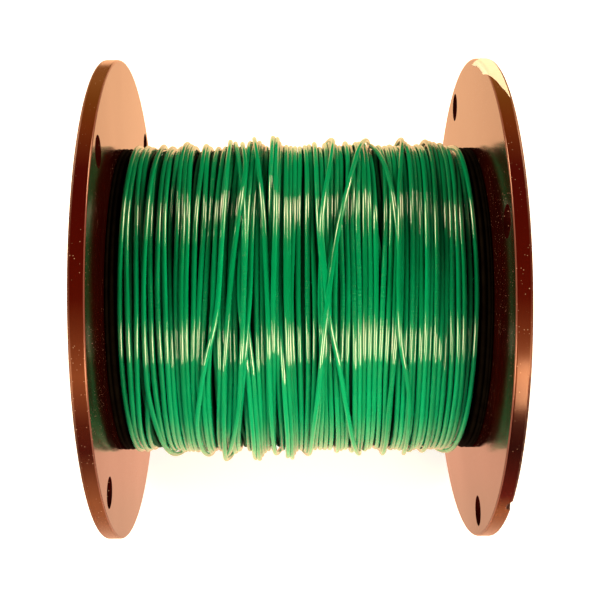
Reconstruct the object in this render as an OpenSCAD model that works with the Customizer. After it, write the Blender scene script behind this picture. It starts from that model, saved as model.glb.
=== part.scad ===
// Plastic wire spool, lying on its rims, wound with insulated hook-up wire.
// Millimetres. The origin is the middle of the arbor bore, X runs along the arbor and +Z is up.

/* [Flanges] */
// Diameter over the flange rims
flange_d = 165.1; // [150:0.1:200]
// Width between the inner faces of the flanges
traverse_w = 119; // [90:1:150]
// Width of a flange at its rim
rim_w = 5; // [4:0.1:8]
// Radial depth of the rim band
rim_depth = 3; // [3:0.1:6]
// Rounding of the rim band's edges
rim_round = 0.8; // [0.3:0.1:1.2]
// Thickness of the flange web
web_t = 2.4; // [1.5:0.1:3.2]
// How far ribs, rings and bosses stay below the rim's outer face
rib_drop = 0.6; // [0:0.1:1]
// Thickness of a rib or ring
rib_t = 1.8; // [1:0.1:2.5]
// Number of radial ribs on a flange
rib_count = 12; // [8:4:16]
// Diameter of the ring rib that ties the radial ribs together
ring_d = 104; // [90:1:120]

/* [Tie holes] */
// Diameter of the round holes near the rim
tie_hole_d = 10; // [6:0.1:11]
// Distance from the edge of the flange to a tie hole's centre
tie_inset = 8.05; // [8:0.05:14]
// Number of tie holes in a flange
tie_count = 4; // [4:4:8]
// Wall of the boss round a tie hole
tie_boss_wall = 2; // [1:0.1:3]
// Turn of the left flange's first tie hole, from +Y towards +Z, in degrees
left_turn = 12; // [0:1:90]
// Turn of the right flange's first tie hole, from +Y towards +Z, in degrees
right_turn = 31; // [0:1:90]

/* [Rim chip] */
// Turn of the chip in the right flange's rim, from +Y towards +Z, in degrees
chip_turn = 189; // [100:1:260]
// Length of the chip along the rim
chip_l = 7; // [2:0.1:8]
// Depth of the chip into the rim's outer corner
chip_depth = 1.7; // [0.5:0.1:1.8]

/* [Hub and barrel] */
// Diameter of the arbor bore
arbor_d = 16.3; // [12:0.1:20]
// Wall round the arbor bore
hub_wall = 4.4; // [3:0.1:6]
// Length of the hub tube inside the barrel
hub_l = 16; // [12:0.5:24]
// Outer diameter of the barrel
barrel_d = 50.8; // [46:0.1:64]
// Wall of the barrel
barrel_wall = 2.4; // [1.6:0.1:4]
// Length of the spigot that locates a flange in the barrel
spigot_l = 9; // [5:0.5:11]
// Wall of the spigot
spigot_wall = 2.2; // [1.4:0.1:3]
// Clearance round the spigot in the barrel
spigot_gap = 0.1; // [0.05:0.05:0.4]
// Number of gussets between hub tube and spigot
gusset_count = 6; // [3:1:8]

/* [Wire] */
// Diameter over the wire's insulation
wire_d = 1.6; // [1.2:0.1:2]
// Diameter over the outermost full layer of wire
wound_d = 107.6; // [90:0.1:120]
// Turns shown in the outermost layer
turn_count = 21; // [12:1:21]
// Distance from each flange to the outermost layer's last turn
side_gap = 3; // [2:0.5:8]
// Place of the crossing turn where it comes over the top
cross_top_x = 24; // [10:1:30]
// Travel of the crossing turn between top and bottom
cross_travel = 21; // [10:1:30]
// Diameter of one copper strand
strand_d = 0.25; // [0.15:0.01:0.3]
// Length of bare strands at the wire's outer end
strand_l = 1.6; // [0.5:0.1:4]
// How far the wire's inner end reaches into the barrel
start_reach = 7; // [4:0.5:8]

/* [Tape] */
// Thickness of the paper tape on the right flange
tape_t = 0.2; // [0.1:0.05:0.4]
// Reach of the tape down the flange's inner face
tape_inner = 2.4; // [1.5:0.1:6]
// Turn of the tape's square end, from +Y towards +Z, in degrees
tape_start = 60; // [40:1:70]
// Angle that the tape covers along the rim, in degrees
tape_span = 30; // [20:1:60]
// Slant of the tape's torn end, in degrees
tape_slant = 70; // [0:1:72]

/* [Hidden] */
$fn = 96;

// Cuts run this far past the faces that they open
cut = 1;
// Gap between wound wire and what it lies against
lay_gap = 0.1;
// Gap of the tape's glue line
glue_gap = 0.05;
// Free width on each side of the wire in a hole or pocket
wire_play = 0.4;
// Radius of the fillets where ribs and bands meet the web
fillet_r = 0.7;

flange_r = flange_d / 2;
rib_top = rim_w - rib_drop;
hub_r = arbor_d / 2 + hub_wall;
barrel_r = barrel_d / 2;
barrel_bore_r = barrel_r - barrel_wall;
spigot_r = barrel_bore_r - spigot_gap;
tie_circle_r = flange_r - tie_inset;
rib_step = 360 / rib_count;
start_hole_x = -traverse_w / 2 + spigot_l + 3;
start_turn = -60;

// Wound wire: a ring every 15 degrees, its corners moved out so that the chords clear the core
ring_step = 15;
chord_out = 1 / cos(ring_step / 2);
core_r = wound_d / 2 - wire_d - lay_gap;
layer_r = (core_r + lay_gap + wire_d / 2) * chord_out;
cross_gap = 0.5;
cross_r = (layer_r + wire_d + cross_gap) * chord_out;
lay_x = traverse_w / 2 - side_gap - wire_d / 2;
tube_sides = 6;

// Angles of the winding's stations, from +Y towards +Z, counted on through the turns
lay_from = -30;
lay_to = 255 + 360 * turn_count;
top_at = 60 + 360 * (turn_count + 1);
bottom_at = top_at + 155;
end_at = top_at + 255;
climb = 75;

// Bend where the outermost layer comes up out of the layer below
bend_r = 1.5 * wire_d;
bend_steps = 3;
end_run = 1.15 * wire_d;
pocket_floor_r = layer_r - bend_r - end_run;

// ---- flanges ----

// A band from radius r0 to r1 and height z0 to z1 whose four edges are rounded
module round_band(r0, r1, z0, z1, e) {
    rotate_extrude() {
        translate([r0 + e, z0]) square([r1 - r0 - 2 * e, z1 - z0]);
        translate([r0, z0 + e]) square([r1 - r0, z1 - z0 - 2 * e]);
        for (r = [r0 + e, r1 - e], z = [z0 + e, z1 - e]) translate([r, z]) circle(r = e);
    }
}

// A plain ring
module ring(r0, r1, z0, z1) {
    translate([0, 0, z0]) difference() {
        cylinder(r = r1, h = z1 - z0);
        translate([0, 0, -cut]) cylinder(r = r0, h = z1 - z0 + 2 * cut);
    }
}

// One radial rib, from radius r0 to r1, standing on the web
module rib(r0, r1, t, z0, z1) {
    translate([r0, -t / 2, z0]) cube([r1 - r0, t, z1 - z0]);
}

// Sloping fillet ring between the web and the rim band
module rim_fillet() {
    rotate_extrude() translate([flange_r - rim_depth, web_t])
        polygon([[0.2, -0.2], [0.2, fillet_r], [0, fillet_r], [-fillet_r, 0], [-fillet_r, -0.2]]);
}

// Flange with its inner face on z = 0 and its ribbed side up, its first tie hole on +X
module flange() {
    difference() {
        union() {
            ring(arbor_d / 2, flange_r - rim_depth / 2, 0, web_t);
            round_band(flange_r - rim_depth, flange_r, 0, rim_w, rim_round);
            rim_fillet();
            ring(arbor_d / 2, hub_r, 0, rib_top);
            ring(barrel_r - rib_t, barrel_r, 0, rib_top);
            ring(ring_d / 2 - rib_t / 2, ring_d / 2 + rib_t / 2, 0, rib_top);
            for (i = [0 : rib_count - 1]) rotate([0, 0, (i + 0.5) * rib_step])
                rib(hub_r - 1, flange_r - rim_depth + 1, rib_t, 0, rib_top);
            for (i = [0 : tie_count - 1]) rotate([0, 0, i * 360 / tie_count])
                translate([tie_circle_r, 0, 0]) cylinder(d = tie_hole_d + 2 * tie_boss_wall, h = rib_top);
            hub_inside();
        }
        for (i = [0 : tie_count - 1]) rotate([0, 0, i * 360 / tie_count])
            translate([tie_circle_r, 0, -cut]) cylinder(d = tie_hole_d, h = rim_w + 2 * cut);
        translate([0, 0, -hub_l - cut]) cylinder(d = arbor_d, h = hub_l + rim_w + 2 * cut);
    }
}

// Ball that scoops a chip out of the outer corner of a rim
module rim_chip() {
    ball_r = (chip_l * chip_l / 4 + chip_depth * chip_depth) / (2 * chip_depth);
    translate([flange_r, 0, rim_w]) rotate([0, 45, 0]) translate([0, 0, ball_r - chip_depth])
        sphere(r = ball_r);
}

// Hub tube, spigot and gussets that reach into the barrel
module hub_inside() {
    ring(arbor_d / 2, hub_r, -hub_l, web_t);
    ring(spigot_r - spigot_wall, spigot_r, -spigot_l, web_t);
    for (i = [0 : gusset_count - 1]) rotate([0, 0, i * 360 / gusset_count])
        rib(hub_r - 1, spigot_r - spigot_wall + 1, rib_t, -spigot_l + 2, web_t);
}

// Lays what is modelled on a flange against the right end of the barrel, turned about the arbor
module at_right_end(turn) {
    translate([traverse_w / 2, 0, 0]) rotate([turn, 0, 0]) rotate([90, 0, 90]) children();
}

module left_flange() {
    color("#2a0f0c") mirror([1, 0, 0]) at_right_end(left_turn) flange();
}

module right_flange() {
    color("#2a0f0c") difference() {
        at_right_end(right_turn) flange();
        at_right_end(chip_turn) rim_chip();
    }
}

// ---- barrel ----

module barrel() {
    color("#241414") difference() {
        rotate([0, 90, 0]) difference() {
            cylinder(r = barrel_r, h = traverse_w, center = true);
            cylinder(r = barrel_bore_r, h = traverse_w + 2 * cut, center = true);
        }
        translate([start_hole_x, 0, 0]) rotate([start_turn, 0, 0]) rotate([-90, 0, 0])
            cylinder(d = wire_d + 2 * wire_play, h = barrel_r + cut);
    }
}

// ---- wound wire ----

// The lower layers, one solid, with the pocket that the outermost layer's first turn comes up out of
module inner_windings() {
    color("#0b5a32") difference() {
        rotate([0, 90, 0]) difference() {
            cylinder(r = core_r, h = traverse_w - 2 * lay_gap, center = true);
            cylinder(r = barrel_r + lay_gap, h = traverse_w, center = true);
        }
        rotate([lay_from, 0, 0])
            translate([-lay_x - wire_d / 2 - wire_play, pocket_floor_r, -wire_d / 2 - wire_play])
            cube([wire_d + 2 * wire_play, core_r, bend_r + 4 * wire_d]);
    }
}

function unit(v) = v / norm(v);
function outward(a) = [0, cos(a), sin(a)];
function onward(a) = [0, -sin(a), cos(a)];

// Place of the wound wire's middle at angle a
function wound_x(a) = lookup(a, [
    [lay_from, -lay_x],
    [lay_to, lay_x],
    [top_at, cross_top_x],
    [bottom_at, cross_top_x - cross_travel],
    [end_at, cross_top_x - 1.5 * cross_travel]]);
function wound_r(a) = lookup(a, [[lay_to - climb, layer_r], [lay_to, cross_r]]);
function wound(a) = [wound_x(a), 0, 0] + wound_r(a) * outward(a);

// First points: straight up from the pocket's floor, then bent over into the first turn
first_point = [-lay_x, 0, 0] + pocket_floor_r * outward(lay_from);
bend_point = first_point + end_run * outward(lay_from);
last_point = wound(end_at);
last_way = unit(wound(end_at) - wound(end_at - 1));
wire_path = concat(
    [first_point, bend_point],
    [for (i = [1 : bend_steps]) let (t = i * 90 / bend_steps)
        bend_point + bend_r * (sin(t) * outward(lay_from) + (1 - cos(t)) * onward(lay_from))],
    [for (a = [lay_from + ring_step : ring_step : end_at]) wound(a)],
    [last_point + end_run * last_way]);

// Direction of a path at its point i
function path_way(path, i) =
    i == 0 ? unit(path[1] - path[0]) :
    i == len(path) - 1 ? unit(path[i] - path[i - 1]) :
    unit(unit(path[i + 1] - path[i]) + unit(path[i] - path[i - 1]));

// A closed tube of even width along a path that never runs along X
module tube(path, d, sides) {
    n = len(path);
    rings = [for (i = [0 : n - 1])
        let (t = path_way(path, i), u = unit([1, 0, 0] - t.x * t), v = cross(t, u))
        for (k = [0 : sides - 1]) path[i] + d / 2 * (cos(k * 360 / sides) * u + sin(k * 360 / sides) * v)];
    walls = [for (i = [0 : n - 2], k = [0 : sides - 1])
        let (a = i * sides + k, b = i * sides + (k + 1) % sides)
        each [[a, b + sides, b], [a, a + sides, b + sides]]];
    near_cap = [for (k = [1 : sides - 2]) [0, k, k + 1]];
    last = (n - 1) * sides;
    far_cap = [for (k = [1 : sides - 2]) [last, last + k + 1, last + k]];
    polyhedron(points = rings, faces = concat(walls, near_cap, far_cap));
}

// Distance from point p to the stretch from a to b
function to_stretch(p, a, b) =
    let (w = b - a, t = max(0, min(1, (p - a) * w / (w * w)))) norm(p - a - t * w);

// Least gap between turns, from points along each stretch to every stretch half a turn or more away
function least_gap(path, d) = min([
    for (i = [0 : len(path) - 2], f = [0, 0.5]) let (p = path[i] + f * (path[i + 1] - path[i]))
        for (j = [i + 12 : 1 : len(path) - 2])
            if (abs(path[j].x - p.x) < 4 * d) to_stretch(p, path[j], path[j + 1])]) - d;

module outer_turns() {
    echo(str("least gap of the wound wire to itself: ", least_gap(wire_path, wire_d), " mm"));
    color("#00965a") tube(wire_path, wire_d, tube_sides);
}

// The wire's inner end, pushed through the barrel's start hole
module start_end() {
    color("#00965a") translate([start_hole_x, 0, 0]) rotate([start_turn, 0, 0]) rotate([-90, 0, 0])
        translate([0, 0, barrel_r - start_reach]) cylinder(d = wire_d, h = start_reach);
}

// Seven bare copper strands at the wire's outer end
module conductor_strands() {
    way = last_way;
    lay = strand_d * 1.1;
    color("#c77a45") translate(last_point + end_run * way)
        rotate([0, acos(way.z), atan2(way.y, way.x)]) {
            cylinder(d = strand_d, h = strand_l);
            for (i = [0 : 5]) rotate([0, 0, i * 60]) translate([lay, 0, 0]) cylinder(d = strand_d, h = strand_l);
        }
}

// ---- tape ----

// Section of the tape over a rim and down its inner face, the flange's axis on x = 0, that face on y = 0
module tape_section() {
    under = glue_gap;
    over = glue_gap + tape_t;
    e = rim_round;
    translate([flange_r + under, e]) square([tape_t, rim_w - 2 * e]);
    translate([flange_r - tape_inner, -over]) square([tape_inner - e, tape_t]);
    translate([flange_r - e, e]) intersection() {
        difference() {
            circle(r = e + over);
            circle(r = e + under);
        }
        translate([0, -2 * e - over]) square(2 * e + over);
    }
}

// Blank strip of paper tape left round the right flange's rim, torn off at a slant
module tape_patch() {
    color("#fbf3c4") at_right_end(tape_start) difference() {
        rotate_extrude(angle = tape_span) tape_section();
        rotate([0, 0, tape_span]) translate([flange_r, 0, rim_w]) rotate([-tape_slant, 0, 0])
            translate([-flange_r / 2, 0, -flange_r / 2]) cube([flange_r, flange_r, flange_r]);
    }
}

left_flange();
right_flange();
barrel();
inner_windings();
outer_turns();
start_end();
conductor_strands();
tape_patch();
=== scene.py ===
"""Wire spool: two moulded flanges on a barrel, wound with loose turns of green hook-up wire."""

import math

import bmesh
import bpy
import numpy as np
from mathutils import Matrix, Vector


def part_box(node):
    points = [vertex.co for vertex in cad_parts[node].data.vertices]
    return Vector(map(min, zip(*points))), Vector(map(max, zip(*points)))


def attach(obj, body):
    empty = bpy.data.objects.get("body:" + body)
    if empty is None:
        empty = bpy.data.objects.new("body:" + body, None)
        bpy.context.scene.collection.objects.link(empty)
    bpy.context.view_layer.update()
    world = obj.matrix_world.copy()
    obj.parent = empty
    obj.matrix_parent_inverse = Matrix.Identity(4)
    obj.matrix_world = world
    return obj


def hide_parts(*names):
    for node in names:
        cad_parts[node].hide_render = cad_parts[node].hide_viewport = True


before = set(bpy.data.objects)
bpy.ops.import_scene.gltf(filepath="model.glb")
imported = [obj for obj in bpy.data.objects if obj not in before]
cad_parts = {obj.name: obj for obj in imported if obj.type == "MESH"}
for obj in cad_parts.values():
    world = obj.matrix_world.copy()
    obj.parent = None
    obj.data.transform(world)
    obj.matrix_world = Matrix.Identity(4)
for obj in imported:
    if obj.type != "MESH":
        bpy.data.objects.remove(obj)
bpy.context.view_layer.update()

MM = 0.001
BODY = "root"

# ---- sizes taken from the frame ----

BARREL_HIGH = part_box("barrel")[1]
FLANGE_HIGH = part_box("right_flange")[1]
BARREL_R = BARREL_HIGH.z
HALF_TRAVERSE = BARREL_HIGH.x
HALF_WIDTH = FLANGE_HIGH.x
FLANGE_R = FLANGE_HIGH.z
FLOOR_Z = -FLANGE_R

# ---- the wire ----

WIRE_D = 1.6 * MM
WIRE_BEVEL_STEPS = 3
WIRE_SIDES = 4 + 2 * WIRE_BEVEL_STEPS

# The bare strands start inside the insulation and part towards the cut
STRAND_D = 0.25 * MM
STRAND_L = 1.6 * MM
STRAND_COUNT = 7
STRAND_TWIST = math.radians(70)
STRAND_BEVEL_STEPS = 2
STRAND_POINTS = 9
STRAND_INSIDE = 0.3
STRAND_LAY = 1.02
STRAND_PARTING = 0.35

# Angles run from +Y towards +Z. A turn starts and ends low at the back, out of sight from the front.
STATIONS = 120
STATION_DEG = 360 / STATIONS
TURN_START_DEG = -60
TURN_DEG = TURN_START_DEG + STATION_DEG * np.arange(STATIONS)
# A wire goes on to the next turn's place mostly under and behind the spool
FRONT_DEG = 138
BACK_RAMP_DEG = (228, 408)
EVEN_SHARE = 0.35
# A turn starts where the one before it ended, and comes to its own place from there
JOIN_FADE = np.exp(-np.arange(STATIONS) / 8)

# How close two laid wires may come, one on another and side by side: the insulation gives a little
STACKED = 0.985 * WIRE_D
CONTACT = 0.95 * WIRE_D

# How a wire slips into the hollows under it
SLIP_ROUNDS = 5
SLIP_MOST = 0.3 * WIRE_D
SLIP_STEP = 0.09
SLIP_PROBE = 0.2 * WIRE_D
SLIP_DEG = 8

# How a wire that is pulled tight spans what is under it, and how far back the turn before it counts
PULL_DEG = (14, 9, 5)
SET_DEG = 3
LEAD_STATIONS = 30

# A turn's place and height are evened out over these degrees. It keeps clear of this many turns before it.
LAYER_PATH_DEG = 4
LOOP_PATH_DEG = 5
HEIGHT_DEG = 5
NEIGHBOURS = 3

# The closed core under the laid turns, and the turns' lines on its surface
CORE_R = 48.9 * MM
CORE_END_GAP = 0.2 * MM
CORE_PITCH = 1.62 * MM
CORE_GROOVE = 0.7 * WIRE_D
CORE_ARC_POINTS = 5
CORE_GAP_START = 0.1 * WIRE_D
CORE_GAP_END = 0.6 * WIRE_D
CORE_SPIN_STEPS = 120
# Left of its full width the core falls away between the sparse turns, and next to the flanges it rises again
# as a near-black ring of painted shade
CORE_FULL_X = (-36.0 * MM, 55.0 * MM)
CORE_LOW_R = 41.0 * MM
CORE_SIDE_R = 52.6 * MM
CORE_SIDE_X = ((-59.0, -57.4), (56.6, 58.2, 59.0))

# The two layers under the top one: their ends along the spool and the spare room between turns.
# Near the left flange every layer is sparse, one turn on another with deep gaps between them.
SPARSE_X = [x * MM for x in (-36.9, -39.3, -43.0, -44.9, -49.0, -51.6, -54.8)]
LOWER_ENDS = (54.4 * MM, -35.0 * MM)
MIDDLE_ENDS = (-35.0 * MM, 51.0 * MM)
TURN_ROOM = 1.01
LOWER_SPARE = 0.05
MIDDLE_SPARE = 0.16

# How far the turns wander from their places, and over what stretch of the wire
LOWER_WANDER = 0.12 * MM
MIDDLE_WANDER = 0.30 * MM
TOP_WANDER = 0.10 * MM
WANDER_DEG = 26

# Places in the middle layer where neighbouring turns lean together by chance, in millimetres and degrees
LEAN_COUNT = 34
LEAN_MOST = 1.2
LEAN_LEAST = 0.3
LEAN_STEEPEST = 0.38
LEAN_REACH = 55
LEAN_WIDTHS = (3, 8)
LEAN_SPREAD_DEG = (22, 50)

# Middle turns that cross back over the ones before them: how many, where, how wide and how far
CROSSING_SHARE = 0.1
CROSSING_DEG = (0, 300)
CROSSING_WIDTH_DEG = (25, 60)
CROSSING_SHIFT = (1.2, 2.0)
# A crossing turn climbs over its neighbours from this share of its shift, over this much more of it
CROSSING_START = 0.15
CROSSING_RAMP = 0.35


def smoothed(values, width_deg):
    """A path's values evened out along the path, over about width_deg each way."""
    sigma = width_deg / STATION_DEG
    reach = int(3 * sigma) + 1
    kernel = np.exp(-0.5 * (np.arange(-reach, reach + 1) / sigma) ** 2)
    padded = np.pad(values, reach, mode="edge")
    return np.convolve(padded, kernel / kernel.sum(), mode="valid")


def uneven(rng, count, width_deg):
    """Random values that change smoothly along a path, with a spread of 1."""
    values = smoothed(rng.normal(size=count), width_deg)
    return values / values.std()


def soft_step(t):
    """0 to 1 with level ends."""
    t = np.clip(t, 0, 1)
    return t * t * (3 - 2 * t)


def degrees_off(angle_deg, centre_deg):
    """How far round an angle lies from a centre, -180 to 180."""
    return (angle_deg - centre_deg + 180) % 360 - 180


def turn_share(angle_deg):
    """How far a wire has gone from one turn's place to the next, counted from the front."""
    even = (angle_deg - FRONT_DEG) / 360
    low, high = BACK_RAMP_DEG
    return EVEN_SHARE * even + (1 - EVEN_SHARE) * soft_step((angle_deg - low) / (high - low))


def random_leans(rng):
    """Places all round the winding where turns lean, each with its widths and its shift."""
    places = []
    for _ in range(LEAN_COUNT):
        width_x = rng.uniform(*LEAN_WIDTHS)
        most = min(LEAN_MOST, LEAN_STEEPEST * width_x)
        shift = rng.choice((-1, 1)) * rng.uniform(LEAN_LEAST, 1) * most
        centre_x = rng.uniform(-LEAN_REACH, LEAN_REACH)
        centre_deg = rng.uniform(0, 360)
        places.append((centre_x * MM, centre_deg, width_x * MM, rng.uniform(*LEAN_SPREAD_DEG), shift * MM))
    return places


def lean_shift(angle_deg, x, places):
    """Sideways shift of a turn at x, from all places where the turns lean."""
    total = np.zeros_like(angle_deg, dtype=float)
    for centre_x, centre_deg, width_x, width_deg, shift in places:
        off = degrees_off(angle_deg, centre_deg)
        total += shift * np.exp(-((off / width_deg) ** 2) - ((x - centre_x) / width_x) ** 2)
    return total


class Winding:
    """Every turn laid so far, as places along the spool and distances from its axis."""

    def __init__(self):
        self.x = np.zeros((0, STATIONS))
        self.r = np.zeros((0, STATIONS))

    def rest_r(self, x):
        """How far from the axis a wire lies when it is laid at x."""
        floor = np.full(STATIONS, CORE_R + WIRE_D / 2)
        if not len(self.x):
            return floor
        aside = np.abs(self.x - x)
        lift = STACKED * np.sqrt(np.maximum(1 - (aside / CONTACT) ** 2, 0))
        return np.maximum(np.where(aside < CONTACT, self.r + lift, 0).max(0), floor)

    def slide(self, x):
        """Lets a wire slip sideways into the hollows under it."""
        start = x.copy()
        for _ in range(SLIP_ROUNDS):
            slope = (self.rest_r(x + SLIP_PROBE) - self.rest_r(x - SLIP_PROBE)) / (2 * SLIP_PROBE)
            x = x - smoothed(np.clip(slope, -1, 1), SLIP_DEG) * SLIP_STEP * WIRE_D
            x = start + np.clip(x - start, -SLIP_MOST, SLIP_MOST)
        return x

    def lay(self, x):
        """Adds a turn at x that goes on from the turn before it, pulled tight over what is under it."""
        started = len(self.x) > 0
        if started:
            x = x + (self.x[-1, -1] - x[0]) * JOIN_FADE
        rest = self.rest_r(x)
        lead = self.r[-1, -LEAD_STATIONS:] if started else rest[:1].repeat(LEAD_STATIONS)
        held = np.concatenate([lead, rest])
        r = held
        for width_deg in PULL_DEG:
            r = np.maximum(held, smoothed(r, width_deg))
        r = smoothed(r, SET_DEG)[LEAD_STATIONS:]
        self.x = np.vstack([self.x, x])
        self.r = np.vstack([self.r, r])


def turn_places(start, stop, spare, rng):
    """Places of a layer's turns from start to stop, with random room between them."""
    way = 1 if stop > start else -1
    places = [start]
    while way * (stop - places[-1]) > 0:
        places.append(places[-1] + way * WIRE_D * (TURN_ROOM + rng.exponential(spare)))
    return places


def wind_layer(winding, places, leaning, wander, crossing_share, rng):
    """Lays a layer turn by turn, each beside the last, and returns its rows in the winding."""
    first = len(winding.x)
    way = 1 if places[-1] > places[0] else -1
    sway = smoothed(rng.normal(size=STATIONS * (len(places) + 1)), WANDER_DEG)
    sway *= wander / sway.std()
    behind = np.where(TURN_DEG < FRONT_DEG, 1, 0)
    share = turn_share(TURN_DEG + 360 * behind)
    for n, place in enumerate(places):
        last = places[max(n - 1, 0)]
        coming = places[min(n + 1, len(places) - 1)]
        wish = np.where(behind, last + (place - last) * share, place + (coming - place) * share)
        wish += lean_shift(TURN_DEG, place, leaning)
        wish += sway[n * STATIONS:(n + 1) * STATIONS]
        over = np.zeros(STATIONS)
        if n >= NEIGHBOURS and rng.random() < crossing_share:
            centre = rng.uniform(*CROSSING_DEG)
            width = rng.uniform(*CROSSING_WIDTH_DEG)
            over = np.exp(-((degrees_off(TURN_DEG, centre) / width) ** 2))
            wish -= way * rng.uniform(*CROSSING_SHIFT) * WIRE_D * over
        if len(winding.x) > first:
            beside = (way * winding.x[max(first, len(winding.x) - NEIGHBOURS):]).max(0) + WIRE_D
            pushed = way * np.maximum(way * wish, beside)
            x = wish + (pushed - wish) * (1 - soft_step((over - CROSSING_START) / CROSSING_RAMP))
        else:
            x = wish
        x = winding.slide(smoothed(x, LAYER_PATH_DEG))
        if way * (x.mean() - places[-1]) > 0:
            break
        winding.lay(x)
    return range(first, len(winding.x))


def wind_loops(winding, knots, wander, rng):
    """Lays turns along (turn, angle, x) knots over all that is there. Returns their rows and last angle."""
    first = len(winding.x)
    knot_deg = np.array([360 * turn + angle for turn, angle, _ in knots])
    knot_x = np.array([x for _, _, x in knots]) * MM
    turns = math.ceil((knot_deg[-1] - TURN_START_DEG) / 360)
    path_deg = TURN_START_DEG + STATION_DEG * np.arange(turns * STATIONS)
    sway = smoothed(rng.normal(size=len(path_deg)), WANDER_DEG)
    path_x = smoothed(np.interp(path_deg, knot_deg, knot_x), LOOP_PATH_DEG) + sway * wander / sway.std()
    for n in range(turns):
        winding.lay(path_x[n * STATIONS:(n + 1) * STATIONS])
    return range(first, len(winding.x)), knot_deg[-1]


# The top layer from right to left: each turn's places along the spool in millimetres, at these angles.
# 56 of the 64 rows are the output of a separate program, which measured them and spaced them apart.
TOP_DEG = (58, 85, 112, 138, 165, 192, 219)
TOP_TURNS = [
    (53.7, 53.0, 52.2, 52.3, 52.0, 52.0, 52.2), (52.2, 51.5, 50.3, 50.3, 50.4, 50.5, 50.7),
    (50.6, 49.9, 48.6, 48.4, 48.9, 48.9, 49.2), (49.1, 48.4, 47.1, 46.3, 47.0, 47.4, 47.6),
    (47.5, 46.9, 45.5, 44.7, 44.5, 45.2, 45.7), (46.0, 45.3, 44.0, 43.2, 42.9, 43.7, 44.1),
    (44.5, 43.8, 42.5, 41.7, 41.4, 42.1, 42.6), (42.9, 42.2, 40.9, 40.1, 39.9, 40.6, 41.0),
    (41.4, 40.7, 39.4, 38.6, 38.3, 39.1, 39.5), (39.8, 39.2, 37.8, 37.0, 36.8, 37.5, 38.0),
    (38.3, 37.6, 36.3, 35.5, 35.2, 36.0, 36.4), (36.8, 36.1, 34.8, 34.0, 33.7, 34.4, 34.9),
    (35.2, 34.5, 33.2, 32.4, 32.2, 32.9, 33.3), (33.7, 33.0, 31.7, 30.9, 30.6, 31.4, 31.8),
    (32.1, 31.5, 30.1, 29.0, 28.5, 28.8, 29.7), (30.6, 29.9, 28.6, 27.0, 26.3, 27.3, 28.1),
    (27.9, 27.8, 26.4, 25.1, 24.7, 25.7, 26.6), (24.6, 24.2, 23.5, 23.3, 23.2, 23.9, 24.3),
    (23.0, 22.7, 21.9, 21.7, 21.6, 22.3, 22.8), (21.5, 21.1, 20.3, 20.1, 20.1, 20.8, 21.3),
    (19.9, 19.6, 17.9, 18.2, 18.5, 19.3, 19.7), (18.4, 18.0, 16.4, 16.5, 17.0, 17.7, 18.2),
    (16.9, 16.5, 14.9, 14.9, 14.3, 15.6, 16.1), (14.5, 14.0, 12.9, 13.4, 12.8, 14.1, 14.6),
    (13.0, 12.5, 11.4, 10.6, 11.2, 12.6, 13.1), (11.4, 10.9, 9.8, 8.8, 9.2, 10.5, 10.7),
    (9.7, 9.3, 8.3, 8.1, 7.7, 8.9, 9.1), (7.7, 7.6, 7.2, 6.1, 7.1, 7.1, 7.4),
    (5.8, 5.8, 5.9, 7.3, 6.1, 5.3, 5.4), (4.3, 4.3, 3.9, 4.7, 4.5, 3.8, 3.8),
    (2.7, 2.8, 2.3, 2.1, 2.5, 2.2, 2.3), (0.7, 0.6, -0.1, -0.4, 0.2, 0.7, 0.7),
    (-0.8, -1.0, -1.6, -2.6, -1.6, -0.8, -0.8), (-2.3, -2.4, -2.9, -3.4, -2.5, -1.6, -1.6),
    (-3.8, -4.0, -4.2, -4.2, -3.4, -2.4, -2.3), (-5.4, -5.5, -5.7, -6.2, -5.0, -3.9, -3.9),
    (-6.2, -6.3, -6.5, -7.1, -6.6, -5.8, -5.6), (-6.9, -7.0, -7.2, -8.1, -8.2, -8.5, -8.8),
    (-8.4, -8.6, -8.8, -9.6, -9.7, -10.0, -10.3), (-10.8, -10.7, -11.4, -11.3, -11.4, -11.6, -11.9),
    (-12.0, -12.1, -12.9, -13.2, -12.7, -12.4, -12.7), (-15.5, -15.7, -16.8, -17.6, -16.8, -16.6, -16.9),
    (-14.6, -14.8, -16.0, -16.8, -14.0, -13.2, -13.5), (-16.4, -16.6, -17.6, -18.4, -15.8, -14.8, -15.1),
    (-13.0, -13.2, -14.4, -15.1, -17.6, -19.9, -20.6), (-18.3, -18.4, -19.4, -19.9, -19.6, -21.5, -22.1),
    (-19.8, -20.0, -20.9, -21.4, -21.3, -23.0, -23.7), (-21.4, -21.5, -22.4, -23.0, -22.8, -24.5, -25.2),
    (-22.9, -23.0, -24.0, -24.5, -24.4, -26.1, -26.8), (-24.4, -24.6, -25.5, -26.0, -28.4, -28.6, -28.8),
    (-27.1, -27.3, -27.3, -28.6, -30.0, -30.2, -30.3), (-30.0, -29.5, -29.1, -30.4, -31.5, -31.7, -31.8),
    (-31.5, -31.1, -32.0, -32.0, -33.0, -33.3, -33.4), (-35.3, -34.9, -34.1, -34.4, -34.6, -34.8, -34.9),
    (-36.9, -36.6, -35.6, -36.0, -36.1, -36.3, -36.5), (-38.4, -38.1, -37.4, -37.5, -37.7, -37.9, -38.0),
    (-39.9, -39.6, -40.0, -39.3, -39.2, -39.4, -39.5), (-41.7, -41.8, -41.6, -40.8, -40.7, -41.0, -41.1),
    (-43.2, -43.4, -43.1, -43.1, -42.4, -42.5, -42.6), (-46.6, -46.5, -45.9, -45.4, -45.3, -44.7, -45.1),
    (-49.9, -49.5, -48.6, -47.2, -47.0, -49.1, -49.9), (-51.4, -51.2, -50.3, -49.6, -50.3, -51.5, -51.8),
    (-53.0, -52.8, -53.1, -52.2, -52.2, -53.1, -53.4), (-54.5, -54.3, -54.7, -54.8, -55.0, -54.7, -55.0),
]


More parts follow.
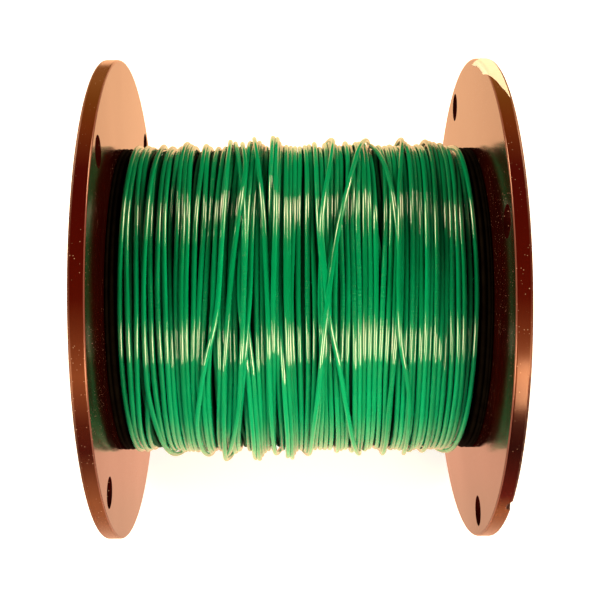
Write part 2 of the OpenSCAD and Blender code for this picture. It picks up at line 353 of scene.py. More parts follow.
def top_knots():
    """The top layer as (turn, angle, x) knots that start and end where a row of the winding does."""
    knots = [(0, TURN_START_DEG, TOP_TURNS[0][0])]
    for turn, places in enumerate(TOP_TURNS):
        knots += [(turn, angle, x) for angle, x in zip(TOP_DEG, places)]
    return knots + [(len(TOP_TURNS) - 1, TURN_START_DEG + 360, TOP_TURNS[-1][-1])]


# The loose turns over it: (turn, angle, place along the spool in millimetres)
LOOSE_KNOTS = [
    (0, -60, -54.6), (0, 20, -48.0), (0, 62, -45.8), (0, 90, -46.6), (0, 130, -47.3), (0, 170, -47.4),
    (0, 222, -42.5), (0, 270, -36.0),
    (1, 0, -27.0), (1, 65, -22.5), (1, 100, -22.7), (1, 139, -24.4), (1, 147, -25.7), (1, 160, -29.3),
    (1, 185, -33.0), (1, 208, -32.5), (1, 240, -30.0),
    (2, 0, -24.0), (2, 62, -21.1), (2, 105, -17.0), (2, 128, -16.6), (2, 150, -17.2), (2, 178, -19.1),
    (2, 219, -25.2), (2, 270, -22.0),
    (3, 0, -19.5), (3, 62, -18.9), (3, 92, -16.4), (3, 130, -20.6), (3, 164, -23.3), (3, 219, -25.4),
    (3, 270, -20.0),
    (4, 0, -16.0), (4, 60, -14.8), (4, 80, -13.4), (4, 110, -10.8), (4, 140, -9.6), (4, 180, -9.0),
    (4, 219, -8.0), (4, 280, -2.0),
    (5, 0, 6.0), (5, 60, 12.5), (5, 85, 10.6), (5, 115, 6.4), (5, 146, 8.8), (5, 159, 12.0),
    (5, 176, 14.5), (5, 219, 20.9), (5, 270, 24.0),
    (6, 0, 26.5), (6, 62, 25.2), (6, 95, 29.0), (6, 120, 30.6), (6, 139, 30.3), (6, 149, 29.4),
    (6, 164, 28.6), (6, 181, 27.9), (6, 219, 28.8), (6, 270, 31.0),
    (7, 0, 35.0), (7, 60, 36.2), (7, 100, 31.5), (7, 135, 29.8), (7, 154, 30.5), (7, 162, 32.6),
    (7, 172, 34.3), (7, 219, 36.0), (7, 270, 43.0),
    (8, 0, 51.0), (8, 60, 54.2), (8, 135, 54.4), (8, 168, 53.8), (8, 185, 53.5), (8, 219, 52.0),
    (8, 270, 42.0),
    (9, 0, 31.0), (9, 57, 24.0), (9, 93, 16.9), (9, 104, 14.4), (9, 115, 12.0), (9, 133, 9.1),
    (9, 151, 7.0), (9, 188, 4.2), (9, 219, 3.5), (9, 315, -7.5),
]

WINDING_SEED = 11
TONE_SEED = 12


def wind_spool():
    """The whole winding, the rows of each of its pieces, and the angle at which the wire ends."""
    rng = np.random.default_rng(WINDING_SEED)
    winding = Winding()
    rows = {}
    lower = turn_places(*LOWER_ENDS, LOWER_SPARE, rng) + SPARSE_X
    rows["lower_turns"] = wind_layer(winding, lower, [], LOWER_WANDER, 0, rng)
    middle = SPARSE_X[::-1] + turn_places(*MIDDLE_ENDS, MIDDLE_SPARE, rng)
    leaning = random_leans(rng)
    rows["middle_turns"] = wind_layer(winding, middle, leaning, MIDDLE_WANDER, CROSSING_SHARE, rng)
    rows["top_turns"], _ = wind_loops(winding, top_knots(), TOP_WANDER, rng)
    rows["loose_turns"], end_deg = wind_loops(winding, LOOSE_KNOTS, 0, rng)
    return winding, rows, end_deg


def winding_points(winding, rows, last_deg=None):
    """A piece's middle line, from its first row to its last, and each point's turn."""
    from_row = max(rows[0] - 1, 0)
    x = winding.x[from_row:rows[-1] + 1].ravel()
    r = winding.r[from_row:rows[-1] + 1].ravel()
    angle = np.tile(TURN_DEG, rows[-1] + 1 - from_row)
    turn = np.repeat(np.arange(from_row, rows[-1] + 1), STATIONS)
    r = np.maximum(r, smoothed(r, HEIGHT_DEG))
    start = STATIONS - 1 if from_row < rows[0] else 0
    stop = len(x)
    if last_deg is not None:
        stop -= int(round((TURN_START_DEG + 360 - last_deg % 360) / STATION_DEG)) % STATIONS
    x, r, angle, turn = (values[start:stop] for values in (x, r, angle, turn))
    a = np.radians(angle)
    return np.stack([x, r * np.cos(a), r * np.sin(a)], 1), turn


# ---- finished pieces ----

# Tone and lumpiness along the wire, 0 to 1: the stretch over which they change, their spread and their middle
TONE = (60, 0.16, 0.5)
TURN_TONE = 0.1
LUMPS = (45, 0.5, 0.25)


def add_piece(name, mesh, material, replaced):
    """Sets a mesh on the spool's body, with its finish and the node that it stands for."""
    mesh.materials.clear()
    mesh.materials.append(material)
    obj = bpy.data.objects.new(name, mesh)
    bpy.context.scene.collection.objects.link(obj)
    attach(obj, BODY)
    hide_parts(replaced)


def add_bmesh_piece(name, bm, material, replaced):
    for face in bm.faces:
        face.smooth = True
    mesh = bpy.data.meshes.new(name)
    bm.to_mesh(mesh)
    bm.free()
    add_piece(name, mesh, material, replaced)


def round_tube_mesh(name, lines, diameter, bevel_steps):
    """One mesh of round tubes along lines of points, made from a bevelled curve."""
    curve = bpy.data.curves.new(name + "_line", "CURVE")
    curve.dimensions = "3D"
    curve.bevel_depth = diameter / 2
    curve.bevel_resolution = bevel_steps
    curve.use_fill_caps = True
    for points in lines:
        spline = curve.splines.new("POLY")
        spline.points.add(len(points) - 1)
        flat = np.ones((len(points), 4))
        flat[:, :3] = points
        spline.points.foreach_set("co", flat.ravel())
    holder = bpy.data.objects.new(name + "_line", curve)
    bpy.context.scene.collection.objects.link(holder)
    bpy.context.view_layer.update()
    evaluated = holder.evaluated_get(bpy.context.evaluated_depsgraph_get())
    mesh = bpy.data.meshes.new_from_object(evaluated)
    mesh.name = name
    bpy.data.objects.remove(holder)
    bpy.data.curves.remove(curve)
    mesh.polygons.foreach_set("use_smooth", np.ones(len(mesh.polygons), bool))
    return mesh


def paint_wire(mesh, points, turn, rng):
    """Gives a wire's mesh its length along the wire, its tone and lumpiness, and the way round it."""
    steps = np.linalg.norm(np.diff(points, axis=0), axis=1)
    along = np.concatenate([[0], np.cumsum(steps)])
    stretch, spread, middle = TONE
    tone = uneven(rng, len(points), stretch) * spread + middle
    tone = tone + rng.normal(0, TURN_TONE, turn.max() + 1)[turn]
    stretch, spread, middle = LUMPS
    lumps = uneven(rng, len(points), stretch) * spread + middle
    for name, values in (("along", along), ("tone", np.clip(tone, 0, 1)), ("lumps", np.clip(lumps, 0, 1))):
        attribute = mesh.attributes.new(name, "FLOAT", "POINT")
        ringed = np.repeat(values, WIRE_SIDES)
        full = np.full(len(mesh.vertices), values[-1])
        full[:len(ringed)] = ringed[:len(full)]
        attribute.data.foreach_set("value", full.astype(np.float32))
    around = 2 * math.pi * (np.arange(len(mesh.vertices)) % WIRE_SIDES) / WIRE_SIDES
    circle = np.stack([np.cos(around), np.sin(around), np.zeros_like(around)], 1)
    attribute = mesh.attributes.new("around", "FLOAT_VECTOR", "POINT")
    attribute.data.foreach_set("vector", circle.ravel().astype(np.float32))


def wire_piece(name, winding, rows, material, rng, replaced, last_deg=None):
    """One layer of turns as a wire, and the points of its middle line."""
    points, turn = winding_points(winding, rows, last_deg)
    mesh = round_tube_mesh(name, [points], WIRE_D, WIRE_BEVEL_STEPS)
    paint_wire(mesh, points, turn, rng)
    add_piece(name, mesh, material, replaced)
    return points


def core_places():
    """Places and distances from the axis of the core's outermost turns, from left to right."""
    low, high = CORE_FULL_X
    count = int((high - low) / CORE_PITCH)
    even = [low + (n + 0.5) * (high - low) / count for n in range(count)]
    left, right = CORE_SIDE_X
    places = [(x * MM, CORE_SIDE_R) for x in left]
    places += [(x, CORE_R) for x in SPARSE_X[::-1] + even]
    return places + [(x * MM, CORE_SIDE_R) for x in right]


def wound_core(material):
    """The full layers under the laid turns, spun from a scalloped line that is closed at both ends."""
    half = HALF_TRAVERSE - CORE_END_GAP
    inner_r = BARREL_R + CORE_END_GAP
    line = [(-half, inner_r)]
    for x, r in core_places():
        if x > line[-1][0] + WIRE_D:
            line += [(line[-1][0] + CORE_GAP_START, CORE_LOW_R), (x - CORE_GAP_END, CORE_LOW_R)]
        for k in range(CORE_ARC_POINTS):
            t = math.pi * (k + 0.5) / CORE_ARC_POINTS
            place = x - 0.5 * CORE_PITCH * math.cos(t)
            line.append((min(max(place, -half), half), r - CORE_GROOVE * (1 - math.sin(t))))
    line.append((half, inner_r))
    bm = bmesh.new()
    verts = [bm.verts.new((x, 0, r)) for x, r in line]
    edges = [bm.edges.new(pair) for pair in zip(verts, verts[1:] + verts[:1])]
    bmesh.ops.spin(bm, geom=verts + edges, cent=(0, 0, 0), axis=(1, 0, 0), dvec=(0, 0, 0),
                   angle=2 * math.pi, steps=CORE_SPIN_STEPS, use_merge=True, use_duplicate=False)
    bmesh.ops.remove_doubles(bm, verts=bm.verts, dist=1e-6)
    bmesh.ops.recalc_face_normals(bm, faces=bm.faces)
    add_bmesh_piece("wound_core", bm, material, "inner_windings")


def bare_strands(points, material):
    """Seven twisted copper strands at the wire's cut end."""
    end = Vector(points[-1])
    way = (end - Vector(points[-3])).normalized()
    aside = way.cross(Vector((1, 0, 0))).normalized()
    across = way.cross(aside)
    lines = []
    for n in range(STRAND_COUNT):
        line = []
        for s in np.linspace(-STRAND_INSIDE, 1, STRAND_POINTS):
            off = Vector((0, 0, 0))
            if n > 0:
                t = math.radians(60 * n) + STRAND_TWIST * max(s, 0)
                spread = STRAND_D * (STRAND_LAY + STRAND_PARTING * max(s, 0) ** 2)
                off = (aside * math.cos(t) + across * math.sin(t)) * spread
            line.append(end + way * (s * STRAND_L) + off)
        lines.append(line)
    mesh = round_tube_mesh("bare_strands", lines, STRAND_D, STRAND_BEVEL_STEPS)
    add_piece("bare_strands", mesh, material, "conductor_strands")


# ---- tape ----

TAPE_T = 0.16 * MM
TAPE_INNER = 2.3 * MM
TAPE_ROWS = 15
TAPE_COLUMNS = 90
# Both torn ends, in degrees, at places across the tape: from the inner face over the rim to its outer corner
TAPE_ACROSS = (0.0, 0.36, 0.59, 0.73, 1.0)
TAPE_START_DEG = (60.0, 66.0, 62.5, 61.0, 58.0)
TAPE_END_DEG = (75.5, 81.0, 83.6, 87.0, 91.0)
# How ragged its ends and its inner edge are, how far its crinkles rise, and how its inner edge curls up
TAPE_RAGGED_DEG = 0.3
TAPE_RAGGED = 0.12 * MM
TAPE_LIFT = 0.07 * MM
TAPE_CRINKLE = 0.06 * MM
TAPE_CURL = 0.25 * MM
TAPE_CURL_SHARE = 0.25
TAPE_SEED = 5
TAPE_RANDOM = 400
TAPE_TORN_DEG = 12
TAPE_CREASE_DEG = 9
# The stretch of random values that each torn edge and each set of creases takes: its first one and its length
TORN_START = (30, 60)
TORN_END = (150, 60)
TORN_EDGE = (220, 100)
CREASES = (0, 300)
CURL_CREASES = (40, 200)
RIM_ROUND = 0.8 * MM


def value_at(values, stretch, share):
    first, length = stretch
    return values[int(first + share * length)]


def tape_patch(material):
    """Strip of crepe tape round the right rim's inner corner, torn at both ends."""
    rng = np.random.default_rng(TAPE_SEED)
    corner = RIM_ROUND * math.pi / 2
    flat_end = TAPE_INNER - RIM_ROUND
    width = flat_end + corner + HALF_WIDTH - HALF_TRAVERSE - 2 * RIM_ROUND
    bm = bmesh.new()
    bmesh.ops.create_grid(bm, x_segments=TAPE_COLUMNS, y_segments=TAPE_ROWS, size=0.5)
    torn = uneven(rng, TAPE_RANDOM, TAPE_TORN_DEG)
    crease = uneven(rng, TAPE_RANDOM, TAPE_CREASE_DEG)
    for v in bm.verts:
        u, w = v.co.x + 0.5, v.co.y + 0.5
        end = np.interp(w, TAPE_ACROSS, TAPE_END_DEG) + TAPE_RAGGED_DEG * value_at(torn, TORN_END, w)
        start = np.interp(w, TAPE_ACROSS, TAPE_START_DEG) + TAPE_RAGGED_DEG * value_at(torn, TORN_START, w)
        angle = math.radians(start + (end - start) * u)
        edge = TAPE_RAGGED * value_at(torn, TORN_EDGE, u) if w < 0.5 / TAPE_ROWS else 0
        run = w * width + edge
        crinkle = TAPE_CRINKLE * (value_at(crease, CREASES, u) * 0.5 + 0.5)
        lift = TAPE_LIFT + crinkle * math.sin(math.pi * w) ** 2
        if w < TAPE_CURL_SHARE:
            curl = TAPE_CURL * (1 - w / TAPE_CURL_SHARE) ** 2
            lift += curl * (0.4 + 0.3 * value_at(crease, CURL_CREASES, u))
        if run < flat_end:
            x, r = HALF_TRAVERSE - lift, FLANGE_R - TAPE_INNER + run
        elif run < flat_end + corner:
            t = (run - flat_end) / RIM_ROUND
            x = HALF_TRAVERSE + RIM_ROUND - (RIM_ROUND + lift) * math.cos(t)
            r = FLANGE_R - RIM_ROUND + (RIM_ROUND + lift) * math.sin(t)
        else:
            x, r = HALF_TRAVERSE + RIM_ROUND + run - flat_end - corner, FLANGE_R + lift
        v.co = (x, r * math.cos(angle), r * math.sin(angle))
    bmesh.ops.recalc_face_normals(bm, faces=bm.faces)
    bmesh.ops.solidify(bm, geom=bm.faces[:], thickness=TAPE_T)
    add_bmesh_piece("crepe_tape", bm, material, "tape_patch")


# ---- nodes that the finishes share ----

BLACK = (0, 0, 0)
WHITE = (1, 1, 1)


def new_material(name):
    material = bpy.data.materials.new(name)
    material.use_nodes = True
    tree = material.node_tree
    return material, tree, tree.nodes["Principled BSDF"]


def feed(tree, node, inputs):
    """Gives a node its inputs, by name or number: an output is linked, and a plain value is set."""
    for name, value in inputs.items():
        if isinstance(value, bpy.types.NodeSocket):
            tree.links.new(value, node.inputs[name])
        else:
            node.inputs[name].default_value = value


def add(tree, kind, inputs=None, **settings):
    node = tree.nodes.new(kind)
    for key, value in settings.items():
        setattr(node, key, value)
    feed(tree, node, inputs or {})
    return node


def object_place(tree):
    return add(tree, "ShaderNodeTexCoord").outputs["Object"]


def attribute(tree, name, output="Fac"):
    return add(tree, "ShaderNodeAttribute", attribute_name=name).outputs[output]


def split(tree, vector):
    """The x, y and z of a place."""
    return add(tree, "ShaderNodeSeparateXYZ", {0: vector}).outputs[:3]


def maths(tree, operation, *inputs):
    return add(tree, "ShaderNodeMath", dict(enumerate(inputs)), operation=operation).outputs[0]


def axis_distance(tree, y, z):
    """A point's distance from the spool's axis."""
    y_squared = maths(tree, "MULTIPLY", y, y)
    return maths(tree, "SQRT", maths(tree, "MULTIPLY_ADD", z, z, y_squared))


def noise(tree, place, scale, detail=2):
    """A soft random pattern, in space or along a single value."""
    single = place.type == "VALUE"
    inputs = {"W" if single else "Vector": place, "Scale": scale, "Detail": detail}
    node = add(tree, "ShaderNodeTexNoise", inputs, noise_dimensions="1D" if single else "3D")
    return node.outputs["Fac"]


def ramp(tree, value, stops, interpolation="LINEAR"):
    node = add(tree, "ShaderNodeValToRGB", {"Fac": value})
    node.color_ramp.interpolation = interpolation
    elements = node.color_ramp.elements
    while len(elements) < len(stops):
        elements.new(0.5)
    for element, (place, colour) in zip(elements, stops):
        element.position = place
        element.color = (*colour, 1)
    return node.outputs["Color"]


def map_range(tree, value, low, high, to_low=0.0, to_high=1.0, interpolation="LINEAR"):
    inputs = {"Value": value, "From Min": low, "From Max": high, "To Min": to_low, "To Max": to_high}
    return add(tree, "ShaderNodeMapRange", inputs, interpolation_type=interpolation).outputs["Result"]


def mix(tree, factor, first, second, blend="MIX"):
    inputs = {"Factor": factor, "A": first, "B": second}
    return add(tree, "ShaderNodeMix", inputs, data_type="RGBA", blend_type=blend).outputs["Result"]


def bumped(tree, height, strength, distance):
    inputs = {"Height": height, "Strength": strength, "Distance": distance}
    return add(tree, "ShaderNodeBump", inputs).outputs["Normal"]


# ---- materials ----

INSULATION_COLOURS = [(0.0, (0.0, 0.15, 0.052)), (0.5, (0.0, 0.205, 0.078)), (1.0, (0.0, 0.265, 0.106))]
# Painted shade: the wire's colour darkens between these distances from the axis, down to the shade of the
# buried turns; the dull turns are painted darker, never lighter than their own shade
BURIED_R = (50.6 * MM, 52.7 * MM)
BURIED_SHADE = 0.04
DULL_TURNS_PAINTED_SHADE = 0.5
DUSTY_ROUGHNESS = 0.50
CLEAN_ROUGHNESS = 0.20
CLOUD_TONE = 0.5
CLOUD_ROUGHNESS = 0.10
CLEAN_GLOSS = {
    "Sheen Weight": 0.5, "Sheen Roughness": 0.4, "Sheen Tint": (0.0, 0.75, 0.36, 1),
    "Coat Weight": 1.0, "Coat Roughness": 0.05, "Coat IOR": 1.6,
}
# Relief of the insulation: beads where it is lumpy, a fine grain, and streaks drawn along it, all as
# shares of RELIEF_DEPTH. The streaks' scale sets how many there are round the wire.
RELIEF_DEPTH = 0.15 * MM
BEAD_HEIGHT = 2.0
GRAIN_HEIGHT = 0.10
STREAK_HEIGHT = 0.9
STREAK_SCALE = 3.2
STREAK_LENGTH = 18.0 * MM


def wire_insulation(name, dull):
    """Green insulation, ridged and beaded by the strands under it, with painted shade towards the axis:
    glossy, or dull and painted darker.
    """
    material, tree, shader = new_material(name)
    place = object_place(tree)
    _, y, z = split(tree, place)
    along = attribute(tree, "along")
    cloud = noise(tree, place, scale=90)
    clouded = maths(tree, "MULTIPLY_ADD", cloud, CLOUD_TONE, -CLOUD_TONE / 2)
    tone = maths(tree, "ADD", attribute(tree, "tone"), clouded)
    green = ramp(tree, tone, INSULATION_COLOURS)
    # Painted shade: darker towards the axis, and darker overall on the dull turns
    lightest = DULL_TURNS_PAINTED_SHADE if dull else 1.0
    shade = map_range(tree, axis_distance(tree, y, z), *BURIED_R, BURIED_SHADE, lightest, "SMOOTHSTEP")

    beads = maths(tree, "MULTIPLY", noise(tree, along, scale=1700, detail=1), attribute(tree, "lumps"))
    height = maths(tree, "MULTIPLY", beads, BEAD_HEIGHT)
    height = maths(tree, "MULTIPLY_ADD", noise(tree, place, scale=1500), GRAIN_HEIGHT, height)
    around_x, around_y, _ = split(tree, attribute(tree, "around", "Vector"))
    drawn_along = maths(tree, "MULTIPLY", along, 1 / STREAK_LENGTH)
    drawn = add(tree, "ShaderNodeCombineXYZ", {"X": around_x, "Y": around_y, "Z": drawn_along})
    streaks = noise(tree, drawn.outputs["Vector"], scale=STREAK_SCALE, detail=1)
    height = maths(tree, "MULTIPLY_ADD", streaks, STREAK_HEIGHT, height)

    roughness = DUSTY_ROUGHNESS if dull else CLEAN_ROUGHNESS
    feed(tree, shader, {
        "Base Color": mix(tree, 1.0, green, shade, "MULTIPLY"),
        "Roughness": maths(tree, "MULTIPLY_ADD", cloud, CLOUD_ROUGHNESS, roughness),
        "IOR": 1.15,
        "Normal": bumped(tree, height, 1.0, RELIEF_DEPTH),
    })
    if not dull:
        feed(tree, shader, CLEAN_GLOSS)
    return material


def shaded_wire():
    """Turns deep under the others, painted near black as the shade that lies on them: dull."""
    material, tree, shader = new_material("shaded_wire")
    cloud = noise(tree, object_place(tree), scale=300)
    feed(tree, shader, {
        "Base Color": ramp(tree, cloud, [(0.35, (0.0015, 0.0008, 0.0004)), (0.65, (0.003, 0.002, 0.001))]),
        "Roughness": maths(tree, "MULTIPLY_ADD", cloud, 0.2, 0.6),
        "IOR": 1.05,
    })
    return material


PLASTIC_COLOURS = [
    (0.3, (0.009, 0.0005, 0.0003)), (0.6, (0.014, 0.001, 0.0004)), (0.8, (0.024, 0.002, 0.0007)),
]
# The rims' colours by the height angle that they face, seen from the axis, with painted light and shade in
# them: lighter brown on top and low down, partly dust and partly painted light, a painted highlight where the
# front lamps shine, a painted dark band under it, and darker between
RIM_ANGLE = (math.radians(-60), math.radians(150))
RIM_COLOURS_AND_PAINTED_LIGHT = [
    (0.0, (0.047, 0.002, 0.0004)), (0.12, (0.11, 0.036, 0.016)), (0.257, (0.09, 0.028, 0.011)),
    (0.333, (0.020, 0.001, 0.0002)), (0.365, (0.028, 0.003, 0.0006)), (0.414, (0.09, 0.024, 0.009)),
    (0.486, (0.038, 0.002, 0.0004)), (0.614, (0.036, 0.001, 0.0003)), (0.664, (0.08, 0.015, 0.002)),
    (0.707, (0.09, 0.028, 0.005)), (0.75, (0.12, 0.045, 0.013)), (0.857, (0.14, 0.055, 0.02)),
    (1.0, (0.047, 0.002, 0.0004)),
]
# How deep under the rim's surface, and under the outer face at its corner, the finish starts and is full
RIM_DEPTHS = (0.7 * MM, 0.3 * MM)
CORNER_DEPTHS = (1.0 * MM, 0.3 * MM)
# Painted shade: where and how much darker the right rim is painted than the left one, dimming the front
# lamp's reflection low on it
RIGHT_RIM_SHADE = [(0.235, BLACK), (0.265, WHITE), (0.36, WHITE), (0.41, BLACK)]
RIGHT_RIM_SHADE_COLOUR = (0.4, 0.08, 0.08, 1)
# A painted highlight: a pale line along each rim's inner edge
EDGE_HIGHLIGHT_WIDTH = 0.4 * MM
PAINTED_EDGE_HIGHLIGHT = (0.24, 0.10, 0.08, 1)
EDGE_HIGHLIGHT_SHARE = 0.4
# Specks of dust: each one's size, where they gather, and how much they hide
DUST_COLOUR = (0.42, 0.30, 0.22, 1)
DUST_SPECK = [(0.0, WHITE), (0.08, WHITE), (0.14, BLACK)]
DUST_PLACES = [(0.42, BLACK), (0.62, WHITE)]
DUST_SHARE = 0.6
# Roughness of the faces, and what the dust, the rims and their outer corners add to it
FACE_ROUGHNESS = 0.07
DUST_ROUGHER = 0.4
RIM_ROUGHER = 0.07
CORNER_ROUGHER = 0.45
# Relief of the faces: waves in the moulding, with fine turned rings and the dust as small shares of them
PLASTIC_RELIEF = 0.6 * MM
RING_HEIGHT = 0.006
DUST_HEIGHT = 0.03


def moulded_plastic():
    """Very dark red-brown styrene, glossy, with waves, fine rings and dust; the rims' colour holds painted
    light and shade, with a painted highlight on their inner edges.
    """
    material, tree, shader = new_material("moulded_plastic")
    place = object_place(tree)
    x, y, z = split(tree, place)
    aside = maths(tree, "ABSOLUTE", x)
    radius = axis_distance(tree, y, z)
    on_rim = map_range(tree, radius, *(FLANGE_R - depth for depth in RIM_DEPTHS))
    on_corner = map_range(tree, aside, *(HALF_WIDTH - depth for depth in CORNER_DEPTHS))

    cloud = noise(tree, place, scale=38, detail=4)
    # Painted light and shade: the rims' colour follows the height angle that they face
    facing = maths(tree, "ARCTAN2", z, maths(tree, "MULTIPLY", y, -1))
    facing = map_range(tree, facing, *RIM_ANGLE)
    right = maths(tree, "GREATER_THAN", x, 0)
    shaded = maths(tree, "MULTIPLY", ramp(tree, facing, RIGHT_RIM_SHADE), right)
    rim = mix(tree, shaded, ramp(tree, facing, RIM_COLOURS_AND_PAINTED_LIGHT), RIGHT_RIM_SHADE_COLOUR, "MULTIPLY")
    colour = mix(tree, on_rim, ramp(tree, cloud, PLASTIC_COLOURS), rim)
    # Painted highlight along each rim's inner edge
    on_edge_highlight = maths(tree, "LESS_THAN", aside, HALF_TRAVERSE + EDGE_HIGHLIGHT_WIDTH)
    on_edge_highlight = maths(tree, "MULTIPLY", on_edge_highlight, on_rim)
    colour = mix(tree, maths(tree, "MULTIPLY", on_edge_highlight, EDGE_HIGHLIGHT_SHARE), colour, PAINTED_EDGE_HIGHLIGHT)

    specks = add(tree, "ShaderNodeTexVoronoi", {"Vector": place, "Scale": 800})
    specks = ramp(tree, specks.outputs["Distance"], DUST_SPECK)
    dusty = maths(tree, "MULTIPLY", specks, ramp(tree, noise(tree, place, scale=60), DUST_PLACES))
    colour = mix(tree, maths(tree, "MULTIPLY", dusty, DUST_SHARE), colour, DUST_COLOUR)

    rings = noise(tree, radius, scale=2600, detail=3)
    waves = noise(tree, place, scale=22, detail=1)
    relief = maths(tree, "MULTIPLY_ADD", rings, RING_HEIGHT, waves)
    relief = maths(tree, "MULTIPLY_ADD", dusty, DUST_HEIGHT, relief)

    rough = maths(tree, "MULTIPLY_ADD", cloud, CLOUD_ROUGHNESS, FACE_ROUGHNESS)
    for where, rougher in ((dusty, DUST_ROUGHER), (on_rim, RIM_ROUGHER), (on_corner, CORNER_ROUGHER)):
        rough = maths(tree, "MULTIPLY_ADD", where, rougher, rough)
    feed(tree, shader, {
        "Base Color": colour, "Roughness": rough, "IOR": 1.5, "Specular Tint": (1.0, 0.62, 0.46, 1),
        "Normal": bumped(tree, relief, 0.35, PLASTIC_RELIEF),
    })
    return material


def copper():
    material, tree, shader = new_material("copper")
    grain = noise(tree, object_place(tree), scale=4000)
    feed(tree, shader, {
        "Base Color": ramp(tree, grain, [(0.3, (0.62, 0.25, 0.11)), (0.7, (0.80, 0.40, 0.20))]),
        "Roughness": maths(tree, "MULTIPLY_ADD", grain, 0.2, 0.15),
        "Metallic": 1.0,
    })
    return material


def crepe_paper():
    """Pale cream crepe tape with fine cross wrinkles."""
    material, tree, shader = new_material("crepe_paper")
    stretch = {"Vector": object_place(tree), "Scale": (500, 2600, 2600)}
    stretched = add(tree, "ShaderNodeMapping", stretch).outputs["Vector"]
    crinkle = noise(tree, stretched, scale=1, detail=3)
    feed(tree, shader, {
        "Base Color": ramp(tree, crinkle, [(0.25, (0.61, 0.57, 0.45)), (0.7, (0.67, 0.63, 0.52))]),
        "Roughness": 0.8,
        "Normal": bumped(tree, crinkle, 0.6, 0.1 * MM),
        "Subsurface Weight": 0.15,
        "Subsurface Radius": (0.4, 0.3, 0.15),
        "Subsurface Scale": 0.5 * MM,
    })
    return material


# ---- stage, light and camera ----

LENS_MM = 63.28
SENSOR_MM = 36
CAMERA_DISTANCE = 373.3 * MM
CAMERA_ELEVATION = math.radians(42)
CAMERA_TURN = math.radians(-0.7)
CAMERA_ROLL = math.radians(0.13)
CAMERA_SHIFT = (0.0035, -0.0028)
# The lamps: elevation from the front and angle to the side in degrees, width, height and power
LAMP_COLOUR = (1.0, 0.72, 0.45)
LAMP_DISTANCE = 0.5
LAMPS = {
    "overhead_left": (116, -43, 0.27, 0.14, 3.4),
    "overhead_right": (116, 43, 0.27, 0.14, 3.4),
    "front_left": (6, -44, 0.27, 0.17, 3.6),
    "front_right": (6, 36, 0.36, 0.17, 4.5),
}
FLOOR_SIZE = 3.0
# The floor as it is seen: matt, and lifted to white
FLOOR_COLOUR = (0.86, 0.84, 0.82, 1)
FLOOR_LIFT = ((1, 0.99, 0.98, 1), 0.72)
# The cool light that it throws up at the spool
FLOOR_FILL = ((0.65, 1.0, 1.25, 1), 0.65)
# What glossy parts mirror of it, by place along Y: dim in front of the spool, bright under and behind it
WARM_FLOOR_Y = (-0.105, 0.205)
WARM_FLOOR = [
    (0.0, (0.03, 0.03, 0.025)), (0.14, (0.52, 0.29, 0.18)), (0.22, (0.74, 0.38, 0.23)),
    (0.32, (0.82, 0.39, 0.24)), (0.68, (0.68, 0.33, 0.155)), (1.0, (0.92, 0.47, 0.24)),
]
WARM_FLOOR_STRENGTH = 2.1
WARM_FLOOR_STREAKS = (0.3, 0.85)
# The world's colour, where glossy parts mirror it and elsewhere
WORLD_MIRRORED = (0.012, 0.010, 0.006, 1)
WORLD_COLOUR = (0.13, 0.12, 0.09, 1)


def emission(tree, colour, strength):
    return add(tree, "ShaderNodeEmission", {"Color": colour, "Strength": strength}).outputs[0]


def stage_material():
    """Pale floor: white in view with the spool's shadow, warm where the glossy parts mirror it."""
    material, tree, shader = new_material("pale_floor")
    tree.nodes.remove(shader)
    x, y, _ = split(tree, object_place(tree))
    matt = add(tree, "ShaderNodeBsdfDiffuse", {"Color": FLOOR_COLOUR}).outputs[0]
    seen = add(tree, "ShaderNodeAddShader", {0: matt, 1: emission(tree, *FLOOR_LIFT)}).outputs[0]
    lit = add(tree, "ShaderNodeAddShader", {0: matt, 1: emission(tree, *FLOOR_FILL)}).outputs[0]
    warmth = ramp(tree, map_range(tree, y, *WARM_FLOOR_Y), WARM_FLOOR, "EASE")
    strength = maths(tree, "MULTIPLY_ADD", noise(tree, x, scale=110), *WARM_FLOOR_STREAKS)
    warm = emission(tree, warmth, maths(tree, "MULTIPLY", strength, WARM_FLOOR_STRENGTH))
    rays = add(tree, "ShaderNodeLightPath").outputs
    plain = add(tree, "ShaderNodeMixShader", {0: rays["Is Camera Ray"], 1: lit, 2: seen}).outputs[0]
    floor = add(tree, "ShaderNodeMixShader", {0: rays["Is Glossy Ray"], 1: plain, 2: warm}).outputs[0]
    feed(tree, tree.nodes["Material Output"], {"Surface": floor})
    return material


def build_stage():
    bpy.ops.mesh.primitive_plane_add(size=FLOOR_SIZE, location=(0, 0, FLOOR_Z))
    floor = bpy.context.object
    floor.name = "floor"
    floor.data.materials.append(stage_material())

    world = bpy.data.worlds.new("surroundings")
    bpy.context.scene.world = world
    world.use_nodes = True
    tree = world.node_tree
    rays = add(tree, "ShaderNodeLightPath").outputs
    unseen = mix(tree, rays["Is Glossy Ray"], WORLD_COLOUR, WORLD_MIRRORED)
    feed(tree, tree.nodes["Background"], {"Color": mix(tree, rays["Is Camera Ray"], unseen, (1, 1, 1, 1))})


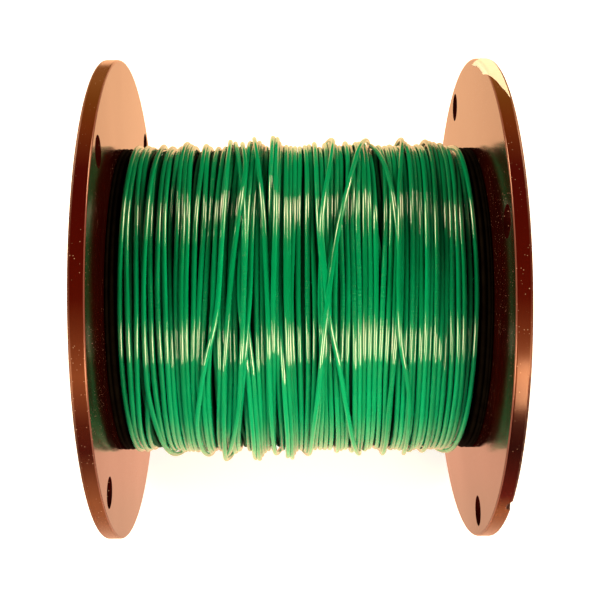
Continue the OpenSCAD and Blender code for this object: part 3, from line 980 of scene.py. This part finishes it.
def add_lamp(name, elevation_deg, aside_deg, width, height, power):
    """A soft panel that faces the spool, elevation_deg up from the front and aside_deg round to a side."""
    data = bpy.data.lights.new(name, "AREA")
    data.shape = "RECTANGLE"
    data.size = width
    data.size_y = height
    data.energy = power
    data.color = LAMP_COLOUR
    lamp = bpy.data.objects.new(name, data)
    bpy.context.scene.collection.objects.link(lamp)
    lamp.matrix_world = (
        Matrix.Rotation(math.radians(90 - elevation_deg), 4, "X")
        @ Matrix.Rotation(math.radians(aside_deg), 4, "Y")
        @ Matrix.Translation((0, 0, LAMP_DISTANCE)))
    lamp.visible_camera = False


def build_camera():
    data = bpy.data.cameras.new("camera")
    data.lens = LENS_MM
    data.sensor_width = SENSOR_MM
    data.shift_x, data.shift_y = CAMERA_SHIFT
    data.clip_start = 0.01
    camera = bpy.data.objects.new("camera", data)
    bpy.context.scene.collection.objects.link(camera)
    camera.matrix_world = (
        Matrix.Rotation(CAMERA_TURN, 4, "Z")
        @ Matrix.Rotation(math.pi / 2 - CAMERA_ELEVATION, 4, "X")
        @ Matrix.Translation((0, 0, CAMERA_DISTANCE))
        @ Matrix.Rotation(CAMERA_ROLL, 4, "Z"))
    bpy.context.scene.camera = camera


# ---- build ----

build_camera()
build_stage()
for lamp_name, settings in LAMPS.items():
    add_lamp(lamp_name, *settings)

plastic = moulded_plastic()
insulation = wire_insulation("wire_insulation", dull=False)
# The lower and middle turns are dull, with their colour painted darker as shade
shaded_dull_insulation = wire_insulation("shaded_dull_wire_insulation", dull=True)
kept_nodes = {"left_flange": plastic, "right_flange": plastic, "barrel": plastic, "start_end": insulation}
for node_name, finish in kept_nodes.items():
    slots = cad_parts[node_name].data.materials
    slots.clear()
    slots.append(finish)

spool_winding, piece_rows, wire_end_deg = wind_spool()
# The core is painted near black, as the shade between and under the turns
wound_core(shaded_wire())
tones = np.random.default_rng(TONE_SEED)
for piece_name, finish, stands_for, last_deg in (
        ("lower_turns", shaded_dull_insulation, "inner_windings", None),
        ("middle_turns", shaded_dull_insulation, "inner_windings", None),
        ("top_turns", insulation, "outer_turns", None),
        ("loose_turns", insulation, "outer_turns", wire_end_deg)):
    rows = piece_rows[piece_name]
    wire_line = wire_piece(piece_name, spool_winding, rows, finish, tones, stands_for, last_deg)
bare_strands(wire_line, copper())
tape_patch(crepe_paper())

bpy.context.scene.view_settings.view_transform = "Standard"
